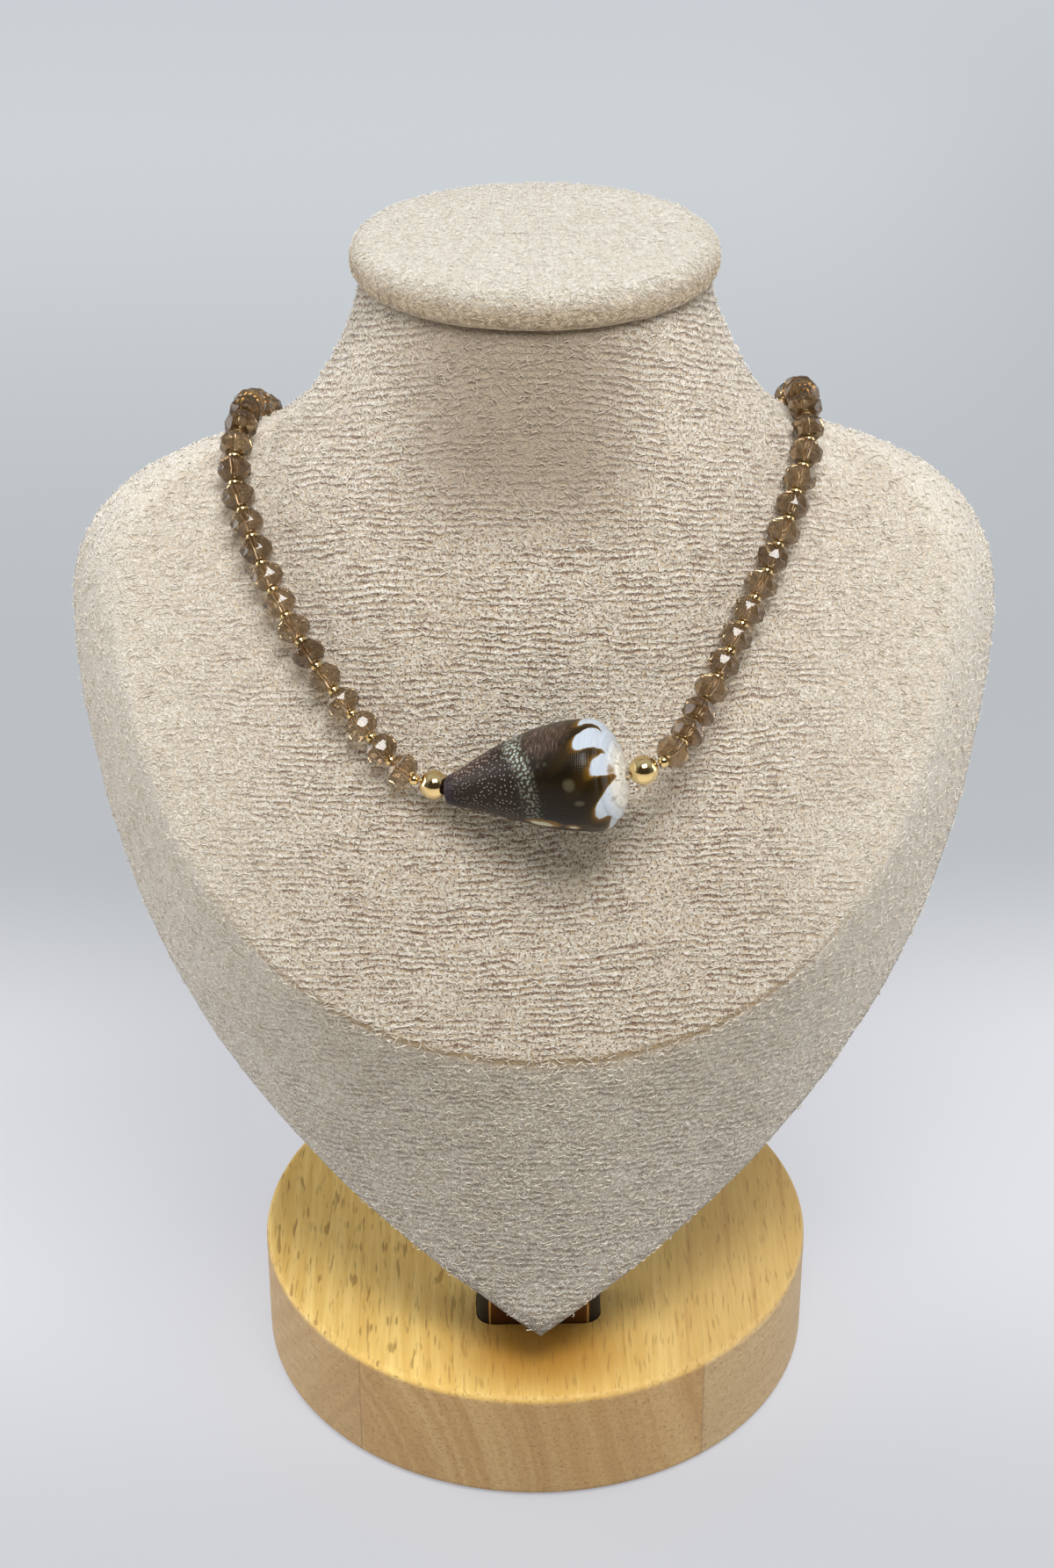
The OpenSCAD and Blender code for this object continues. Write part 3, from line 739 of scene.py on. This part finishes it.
# -------------------------------------------------------------------------------------- Shell
# A polished cone shell, drilled through from the tip to the spire for the thread. Blue-white
# flames run in from its shoulder over dark brown, and grains stand in rows on its narrow end.
shell_tip = Vector((-0.018870, -0.059051, 0.189202))
shell_axis = Vector((0.942695, -0.248123, 0.223071))
to_cloth = Vector((0.310665, 0.896608, -0.315565))
to_brow = Vector((-0.121708, 0.366782, 0.922311))
shell_long = 0.038
spire_from, spire_blur = 0.87, 0.03
whorl_wide, whorl_high = 0.0023, 0.00028
bore_rim = 0.001
sharp_fold = math.radians(50)
# The pattern is laid out round the line that faces the camera
front = math.radians(160)
to_front = math.cos(front) * to_cloth + math.sin(front) * to_brow
to_side = -math.sin(front) * to_cloth + math.cos(front) * to_brow

shell = copy_of("shell", "cone_shell")
bpy.ops.object.mode_set(mode="EDIT")
bpy.ops.mesh.tris_convert_to_quads(face_threshold=math.pi, shape_threshold=math.pi)
bpy.ops.object.mode_set(mode="OBJECT")
mesh = bmesh.new()
mesh.from_mesh(shell.data)
folds = mesh.edges.layers.float.new("crease_edge")
for edge in mesh.edges:
    if len(edge.link_faces) == 2 and edge.calc_face_angle() > sharp_fold:
        edge[folds] = 0.5
mesh.to_mesh(shell.data)
mesh.free()
smoothed(shell, 3)
# Whorls of the spire stand in low steps
count = len(shell.data.vertices)
points, normals = np.empty(count * 3), np.empty(count * 3)
shell.data.vertices.foreach_get("co", points)
shell.data.vertices.foreach_get("normal", normals)
points, normals = points.reshape(-1, 3), normals.reshape(-1, 3)
from_tip = points - np.array(shell_tip)
along = from_tip @ np.array(shell_axis) / shell_long
radius = np.hypot(from_tip @ np.array(to_front), from_tip @ np.array(to_side))
angle = np.arctan2(from_tip @ np.array(to_side), from_tip @ np.array(to_front))
whorl = radius / whorl_wide + angle / (2 * math.pi)
step = whorl - np.floor(whorl)
on_spire = np.clip((along - spire_from) / spire_blur, 0, 1) \
    * np.clip((radius - bore_rim) / (2 * bore_rim), 0, 1)
lift = whorl_high * (np.minimum(step / 0.8, (1 - step) / 0.2) - 0.5) * on_spire
points += normals * lift[:, None]
shell.data.vertices.foreach_set("co", points.ravel())
shell.data.update()

glaze = Finish("cone_shell_glaze")
place = glaze.place()


def along_way(vector, way, origin):
    """How far a place lies from origin along a way."""
    away = glaze.make("VectorMath", {"operation": "SUBTRACT"}, {0: vector, 1: origin})
    return glaze.make("VectorMath", {"operation": "DOT_PRODUCT"}, {0: away, 1: way}, out="Value")


along = along_way(place, shell_axis, shell_tip) / shell_long
ahead = along_way(place, to_front, shell_tip)
aside = along_way(place, to_side, shell_tip)
angle = glaze.sums("ARCTAN2", aside, ahead) * (180 / math.pi)
wobble = glaze.cloud(place, 260, 3.0) - 0.5
fine = glaze.cloud(place, 900, 3.0) - 0.5

# Where the brown ends towards the shoulder: angles round the shell in degrees, and shares of
# its length from the tip
flame_line = [(-180, 0.88), (-160, 0.93), (-145, 0.84), (-128, 0.92), (-112, 0.83), (-96, 0.90),
              (-84, 0.80), (-72, 0.79), (-62, 0.80), (-52, 0.90), (-46, 0.80), (-40, 0.79),
              (-32, 0.797), (-23, 0.85), (-15, 0.932), (-8, 0.905), (2, 0.880), (12, 0.884),
              (17, 0.92), (23, 0.972), (33, 0.968), (41, 0.93), (47, 0.885), (54, 0.872),
              (62, 0.874), (69, 0.89), (78, 0.915), (86, 0.925), (97, 0.89), (112, 0.84),
              (127, 0.92), (142, 0.83), (160, 0.91), (180, 0.88)]
slanted = angle + 170 * (along - 0.85) + 10 * wobble
edge = glaze.make("FloatCurve", {"line": [((a + 180) / 360, s) for a, s in flame_line]},
                  {"Value": (slanted + 180) / 360})
inside = edge - along + 0.012 * wobble + 0.008 * fine
white = 1 - glaze.step(inside, -0.006, 0.006)


def spot(at_along, at_angle, half_long, half_turn, soft=0.35):
    """A rounded patch on the shell, 1 in its middle and 0 outside it."""
    far = (((along - at_along) / half_long) ** 2 + ((angle - at_angle) / half_turn) ** 2
           + 1.2 * fine)
    return 1 - glaze.step(far, 1 - soft, 1 + soft)


# Dark body, amber near the flames and violet towards the tip
streak = glaze.cloud(glaze.join(along * 3, angle * 0.12, 0.0), 1.0, 3.0, 0.6)
body = glaze.make("ValToRGB", {"stops": [
    (0.0, paint(124, 88, 22)), (0.03, paint(84, 60, 16)), (0.08, paint(44, 32, 11)),
    (0.32, paint(24, 18, 8)), (1.0, paint(24, 18, 11))]}, {0: inside / 0.5 + 0.02 * fine})
body = glaze.mixed(glaze.step(streak, 0.45, 0.75) * 0.35, body, paint(52, 37, 16))
violet = 1 - glaze.step(along + 0.03 * wobble, 0.28, 0.52)
body = glaze.mixed(violet * 0.6, body, paint(36, 26, 22))
# Painted highlight: a streaky pale sheen on the upper middle of the body, where the overhead light
# is reflected
painted_sheen = spot(0.61, -46, 0.13, 26, 0.9)
sheen_streaks = glaze.step(glaze.cloud(glaze.join(along * 120, angle * 0.09, 0.0), 1.0, 3.0),
                     0.46, 0.66)
body = glaze.mixed(painted_sheen * (0.16 + 0.46 * sheen_streaks), body, paint(130, 108, 96))
# Pale speckled girdle, strongest above
girdle_at = glaze.make("FloatCurve", {"line": [
    (0, 0.50), (0.36, 0.42), (0.42, 0.45), (0.47, 0.50), (0.54, 0.53), (0.62, 0.527), (1, 0.50)]},
    {"Value": (angle + 180) / 360})
girdle = 1 - glaze.step(abs(along - girdle_at + 0.03 * wobble + 0.02 * fine), 0.015, 0.075)
girdle = girdle * (0.3 + 0.7 * (1 - glaze.step(angle, -25, 12)))
girdle_r, fleck_long, fleck_wide = 0.0095, 0.0009, 0.0008
flecks = glaze.speckle(along * (shell_long / fleck_long) + 0.5 * wobble,
                       angle * (math.radians(girdle_r) / fleck_wide), 0.9)
flecks = 1 - glaze.step(flecks, 0.20, 0.42)
body = glaze.mixed(girdle * 0.5, body, paint(92, 84, 62))
body = glaze.mixed(girdle * flecks * 0.85, body, paint(184, 198, 192))
# Small rubbed spots, and an amber hook between two flames
rubbed = spot(0.767, 14, 0.030, 6, 1.0) + spot(0.807, 34, 0.026, 3, 1.0) \
    + 0.6 * spot(0.60, -8, 0.012, 2, 1.0) + 0.6 * spot(0.64, -9, 0.012, 2, 1.0)
body = glaze.mixed(rubbed * 0.22, body, paint(140, 134, 106))
hook = spot(0.955, -4, 0.012, 11, 0.9) * 0.7
# White and amber patches low on the side
low = spot(0.55, 70, 0.065, 6) + spot(0.72, 74, 0.025, 3)
low_rim = spot(0.56, 68, 0.100, 10) + spot(0.72, 73, 0.045, 6)
body = glaze.mixed(low_rim * 0.8, body, paint(128, 92, 30))
body = glaze.mixed(low, body, paint(192, 190, 168))
# Rows of grains on the narrow end, thick above and sparse below. The upper side is also
# painted rosy, as a painted sheen where the light falls
grain_r, grain_long, grain_wide = 0.0072, 0.00105, 0.00088
dots = glaze.speckle(along * (shell_long / grain_long) + 0.3 * wobble,
                     angle * (math.radians(grain_r) / grain_wide), 0.75)
few = glaze.step(glaze.cloud(glaze.join(along * 9, angle * 0.06, 3.0), 1.0, 2.0), 0.36, 0.5)
thick = (1 - glaze.step(along, 0.12, 0.42)) * (1 - glaze.step(angle, -50, 10))
grains = 1 - glaze.step(dots + 0.12 * (0.5 - few) - 0.10 * thick, 0.03, 0.15)
grain_zone = (1 - glaze.step(along, 0.36, 0.66)) * (0.40 + 0.30 * few + 0.30 * thick)
grains = grains * grain_zone
# Painted sheen: the upper side of the narrow end is painted rosy
body = glaze.mixed(thick * 0.35, body, paint(112, 90, 82))
body = glaze.mixed(grains * 0.85, body, paint(192, 178, 168))
body = glaze.mixed((1 - glaze.step(along, 0.02, 0.085)) * 0.85, body, paint(44, 34, 46))
# Blue-white enamel, creamy towards the spire, with brown flecks between the whorls
enamel = glaze.mixed(glaze.step(glaze.cloud(glaze.join(along * 120, angle * 0.05, 0.0), 1.0),
                                0.35, 0.7) * 0.5, paint(188, 198, 210), paint(168, 181, 196))
radius = (ahead * ahead + aside * aside) ** 0.5
spire = glaze.step(along, 0.925, 0.975)
fleck = glaze.step(glaze.cloud(glaze.join(radius * 500, angle * 0.09, 0.0), 1.0, 2.0), 0.56, 0.66)
spire_tone = glaze.mixed(fleck * 0.7, paint(216, 214, 206), paint(128, 98, 68))
enamel = glaze.mixed(spire, enamel, spire_tone)
tone = glaze.mixed(white, body, enamel)
tone = glaze.mixed(hook, tone, paint(118, 84, 26))
thread_pitch = 0.00042
threads = glaze.sums("SINE", along * (2 * math.pi * shell_long / thread_pitch))
growth = glaze.cloud(glaze.join(along * 2, angle * 0.5, 0.0), 1.0, 3.0)
relief = glaze.raised(0.10 * threads * (1 - white * 0.5) + 0.35 * growth + 0.8 * grains
                      - 0.25 * white, 0.00012)
glaze_finish = glaze.done(
    Base_Color=tone, Roughness=0.24 + 0.10 * growth + 0.12 * grain_zone, Normal=relief,
    Specular_IOR_Level=0.15, Coat_Weight=0.05, Coat_Roughness=0.08)
shell.data.materials.append(glaze_finish)
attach(shell, "root")
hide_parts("shell")

# --------------------------------------------------------------------------------- Gold beads
# Round balls of polished gold-coloured metal: a big one at each end of the shell and a small
# one between every two stones. The clasp at the back is a plain barrel of the same metal.
gold = Finish("polished_gold")
place = gold.place()
smudge = gold.cloud(place, 700, 3.0)
tone = gold.mixed(gold.step(smudge, 0.35, 0.7) * 0.35, paint(236, 212, 158),
                  paint(222, 192, 132))
gold_finish = gold.done(
    Base_Color=tone, Metallic=1.0, Roughness=0.06 + 0.10 * smudge,
    Normal=gold.raised(gold.cloud(place, 2600, 2.0), 0.000006))
for name in ("gold_bead_left", "gold_bead_right", "gold_spacers_left", "gold_spacers_right",
             "clasp"):
    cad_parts[name].data.materials[0] = gold_finish

# ------------------------------------------------------------------------------ Smoky stones
# Flattened beads of smoky quartz, drilled lengthwise. Each has a flat table at both ends and
# three rows of facets, cut by hand and rounded a little by polishing.
stone_d, stone_l = 0.0075, 0.0049
flattened = 0.80
bore_r = 0.0005
facets_round = 8
row_within, joined_within = 0.0001, 0.00005
polished_edge = 0.00020
bpy.ops.object.select_all(action="DESELECT")
bpy.ops.mesh.primitive_uv_sphere_add(segments=facets_round, ring_count=5, radius=stone_d / 2)
stone = bpy.context.object
stone.name = "stone"
rows = sorted({round(v.co.z, 5) for v in stone.data.vertices})
bpy.ops.object.mode_set(mode="EDIT")
half_turn = math.pi / facets_round
for row in rows[1:-1:2]:
    bpy.ops.mesh.select_mode(type="VERT")
    bpy.ops.mesh.select_all(action="DESELECT")
    mesh = bmesh.from_edit_mesh(stone.data)
    for vert in mesh.verts:
        vert.select_set(abs(vert.co.z - row) < row_within)
    mesh.select_flush_mode()
    bmesh.update_edit_mesh(stone.data)
    bpy.ops.transform.rotate(value=half_turn, orient_axis="Z", center_override=(0, 0, 0))
bpy.ops.mesh.select_all(action="SELECT")
bpy.ops.transform.resize(value=(1, 1, flattened))
bpy.ops.mesh.convex_hull()
for end in (-1, 1):
    bpy.ops.mesh.select_all(action="SELECT")
    bpy.ops.mesh.bisect(plane_co=(0, 0, end * stone_l / 2), plane_no=(0, 0, end), use_fill=True,
                        clear_outer=True)
bpy.ops.mesh.select_all(action="SELECT")
bpy.ops.mesh.remove_doubles(threshold=joined_within)
bpy.ops.mesh.convex_hull()
bpy.ops.mesh.select_all(action="SELECT")
bpy.ops.mesh.dissolve_limited(angle_limit=math.radians(2))
bpy.ops.object.mode_set(mode="OBJECT")
in_order(stone)
add_modifier(stone, "BEVEL", width=polished_edge, segments=2, limit_method="ANGLE",
             angle_limit=math.radians(8), profile=0.6)
bpy.ops.object.select_all(action="DESELECT")
bpy.ops.mesh.primitive_cylinder_add(vertices=12, radius=bore_r, depth=stone_d + bore_r)
drill = bpy.context.object
add_modifier(stone, "BOOLEAN", object=drill, operation="DIFFERENCE", solver="EXACT")
bpy.data.objects.remove(drill)
work_on(stone)
bpy.ops.object.shade_smooth_by_angle(angle=math.radians(14))

quartz = Finish("smoky_quartz")
place = quartz.place()
own = quartz.make("Attribute", {"attribute_name": "smoke"}, out="Fac")
veil = quartz.cloud(place, 420, 2.0)
tone = quartz.mixed(own, paint(200, 174, 136), paint(150, 122, 88))
tone = quartz.mixed(quartz.step(veil, 0.4, 0.75) * 0.35, tone, paint(168, 146, 116))
quartz_finish = quartz.done(
    Base_Color=tone, Roughness=0.05 + 0.06 * veil, Transmission_Weight=0.90, IOR=1.5,
    Normal=quartz.raised(quartz.cloud(place, 900, 2.0), 0.00001))
stone.data.materials.append(quartz_finish)

dice = np.random.default_rng(31)
for side in ("left", "right"):
    copies = []
    for middle, way in stone_places[side]:
        copy = stone.copy()
        copy.data = stone.data.copy()
        bpy.context.collection.objects.link(copy)
        along_bore = Vector(way).to_track_quat("Z", "Y").to_matrix().to_4x4()
        copy.data.transform(Matrix.Translation(Vector(middle)) @ along_bore
                            @ Matrix.Rotation(dice.uniform(0, 2 * math.pi), 4, "Z"))
        smoke = copy.data.attributes.new("smoke", "FLOAT", "POINT")
        smoke.data.foreach_set("value", np.full(len(copy.data.vertices), dice.uniform(0, 1)))
        copies.append(copy)
    bpy.ops.object.select_all(action="DESELECT")
    for copy in copies:
        copy.select_set(True)
    bpy.context.view_layer.objects.active = copies[0]
    bpy.ops.object.join()
    row = bpy.context.object
    row.name = row.data.name = "smoky_stones_" + side
    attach(row, "root")
    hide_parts("quartz_beads_" + side)
bpy.data.objects.remove(stone)

# ------------------------------------------------------------------------------------- Thread
# Strong twisted beading thread, the colour of flax, that runs through every bead, the shell
# and the clasp.
flax = Finish("flax_thread")
place = flax.place()
twist = flax.cloud(flax.stretched(place, (5000, 5000, 5000)), 1.0, 2.0)
flax_finish = flax.done(
    Base_Color=flax.mixed(twist, paint(176, 148, 110), paint(222, 204, 172)),
    Roughness=0.75, Normal=flax.raised(twist, 0.00003))
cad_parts["thread"].data.materials[0] = flax_finish

# --------------------------------------------------------------------------- Floor and lights
# A wide sheet of pale paper, greyer behind the bust, that glows weakly, so that the bust casts
# hardly any shadow on it. One large soft light hangs overhead, a little to the right, and two
# wide ones stand beside and behind.
bpy.ops.object.select_all(action="DESELECT")
bpy.ops.mesh.primitive_plane_add(size=12, location=(0, 0, -0.0002))
floor = bpy.context.object
floor.name = "floor"
paper = Finish("pale_paper")
place = paper.place()
across, depth, _ = paper.parts(place)
behind = paper.step(depth, 0.10, 0.22)
near = paper.mixed(paper.step(depth, -0.10, 0.03), paint(155, 158, 166), paint(182, 184, 191))
near = paper.mixed(paper.step(depth, -0.17, -0.12), paint(214, 205, 189), near)
glow = paper.mixed(behind, near, paint(134, 141, 148))
far = paper.mixed(paper.step(across, 0.10, 0.45) * (1 - paper.step(depth, 0.5, 1.2)),
                  paint(178, 184, 190), paint(122, 128, 130))
glow = paper.mixed(paper.step(depth, 0.25, 0.9), glow, far)
floor.data.materials.append(paper.done(
    Base_Color=paint(137, 137, 137), Roughness=0.6 + 0.1 * paper.cloud(place, 20, 2.0),
    Specular_IOR_Level=0.2, Emission_Color=glow, Emission_Strength=1.0))


def soft_light(name, place, aim, size, power, colour):
    lamp = bpy.data.lights.new(name, "AREA")
    lamp.shape = "RECTANGLE"
    lamp.size, lamp.size_y = size
    lamp.energy = power
    lamp.color = colour
    light = bpy.data.objects.new(name, lamp)
    bpy.context.collection.objects.link(light)
    light.location = place
    light.rotation_euler = (Vector(aim) - Vector(place)).to_track_quat("-Z", "Y").to_euler()


soft_light("overhead", (0.11, -0.53, 1.17), (0, -0.05, 0.2), (0.6, 0.42), 13.4,
           (1.0, 0.985, 0.96))
soft_light("from_left", (-1.25, 0.25, 0.45), (0, 0, 0.15), (0.9, 0.9), 8.8, (1.0, 0.99, 0.98))
soft_light("from_right", (1.25, 0.25, 0.45), (0, 0, 0.15), (0.9, 0.9), 5.3, (1.0, 0.99, 0.98))

# The room round it is evenly pale, brighter overhead and dark where the onlooker stands
room = Finish("room", "worlds")
room_ways = room.make("TexCoord", out="Generated")


def room_part(way, low, high, first, second):
    """A colour of the room that turns from first to second towards a way."""
    towards = room.make("VectorMath", {"operation": "DOT_PRODUCT"}, {0: room_ways, 1: way},
                        out="Value")
    return room.mixed(room.step(towards, low, high), first, second)


walls = room_part((0, 0, 1), 0.35, 0.80, (0.12, 0.125, 0.13, 1), (0.50, 0.50, 0.495, 1))
bpy.context.scene.world = room.done(
    "Background", "OutputWorld", Strength=1.0,
    Color=room_part((0, -0.85, 0.53), 0.50, 0.86, walls, (0.05, 0.04, 0.03, 1)))
bpy.context.scene.view_settings.view_transform = "Standard"
